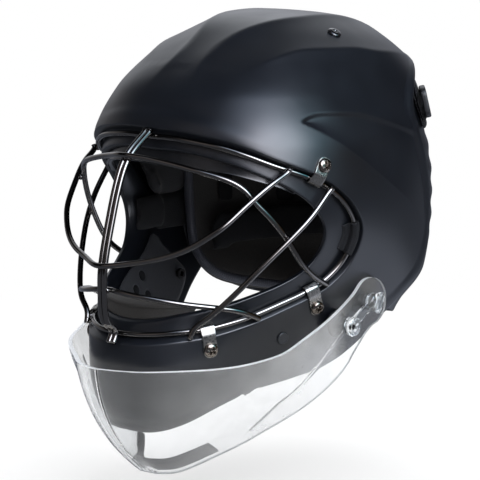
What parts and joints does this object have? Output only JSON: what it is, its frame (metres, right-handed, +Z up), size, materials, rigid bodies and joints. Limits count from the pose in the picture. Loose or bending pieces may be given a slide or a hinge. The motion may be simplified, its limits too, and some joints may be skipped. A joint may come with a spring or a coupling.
{
  "type": "goalkeeper helmet",
  "caption": "Full-face goalkeeper helmet: hard shell with a wire face cage held by clips, a clear throat guard that swings at the jaw and a padded back plate hinged at the rear.",
  "frame": {"origin": "middle of the wearer's head, on the mid-plane, 134 mm below the crown of the shell", "axes": "+Z up, the wearer looks along -Y, the wearer's left is +X"},
  "size_m": [0.2266, 0.2979, 0.3185],
  "materials": {
    "shell": "moulded, soft-touch matte black",
    "back_plate": "moulded, soft-touch matte black",
    "cap": "moulded, satin black",
    "wire": "polished stainless wire",
    "clip": "pressed stainless strip",
    "screw": "stainless, pan head",
    "nut": "zinc plated",
    "clear_sheet": "clear polycarbonate",
    "clear_fitting": "clear polycarbonate",
    "strip": "black edge strip",
    "webbing": "black woven webbing",
    "buckle": "moulded black acetal",
    "black_pad": "foam pad in black knit",
    "grey_pad": "foam pad in grey knit",
    "brow_pad": "closed-cell foam with a smooth skin",
    "chin_pad": "closed-cell foam",
    "liner": "closed-cell foam",
    "foam": "closed-cell foam"
  },
  "bodies": {
    "helmet": {"shell": "shell", "crown_rivet_left": "cap", "crown_rivet_right": "cap", "jaw_plug_left": "cap", "jaw_plug_right": "cap", "cage_rim": "wire", "cage_middle_bars": "wire", "cage_brow_bar": "wire", "cage_eye_loop": "wire", "cage_mouth_bar": "wire", "cage_cross_bar_left": "wire", "cage_cross_bar_right": "wire", "clip_upper_left": "clip", "screw_upper_left": "screw", "clip_upper_right": "clip", "screw_upper_right": "screw", "clip_rear_left": "clip", "screw_rear_left": "screw", "clip_rear_right": "clip", "screw_rear_right": "screw", "clip_front_left": "clip", "screw_front_left": "screw", "clip_front_right": "clip", "screw_front_right": "screw", "clip_nuts_left": "nut", "rim_loop_left": "webbing", "guard_link_left": "clear_fitting", "pivot_screw_left": "clear_fitting", "clamp_screw_left": "clear_fitting", "guard_nuts_left": "nut", "temple_pad_left": "grey_pad", "ear_pad_left": "black_pad", "cheek_pad_left": "foam", "clip_nuts_right": "nut", "rim_loop_right": "webbing", "guard_link_right": "clear_fitting", "pivot_screw_right": "clear_fitting", "clamp_screw_right": "clear_fitting", "guard_nuts_right": "nut", "temple_pad_right": "grey_pad", "ear_pad_right": "black_pad", "cheek_pad_right": "foam", "crown_pad_front": "foam", "crown_pad_middle": "foam", "brow_pad": "brow_pad", "chin_pad": "chin_pad"},
    "guard": {"throat_guard": "clear_sheet", "guard_strip": "strip"},
    "back": {"back_plate": "back_plate", "back_liner": "liner", "nape_pad": "black_pad", "nape_straps": "webbing", "rear_webbing_left": "webbing", "rear_buckle_left": "buckle", "rear_webbing_right": "webbing", "rear_buckle_right": "buckle"}
  },
  "joints": [
    {"name": "guard_swing", "type": "hinge", "parent": "helmet", "child": "guard", "pos_m": [0, 0.00318, -0.06581], "axis": [1, 0, 0], "range_deg": [-2, 9]},
    {"name": "back_swing", "type": "hinge", "parent": "helmet", "child": "back", "pos_m": [0, 0.107, 0.096], "axis": [1, 0, 0], "range_deg": [-3, 3]}
  ]
}
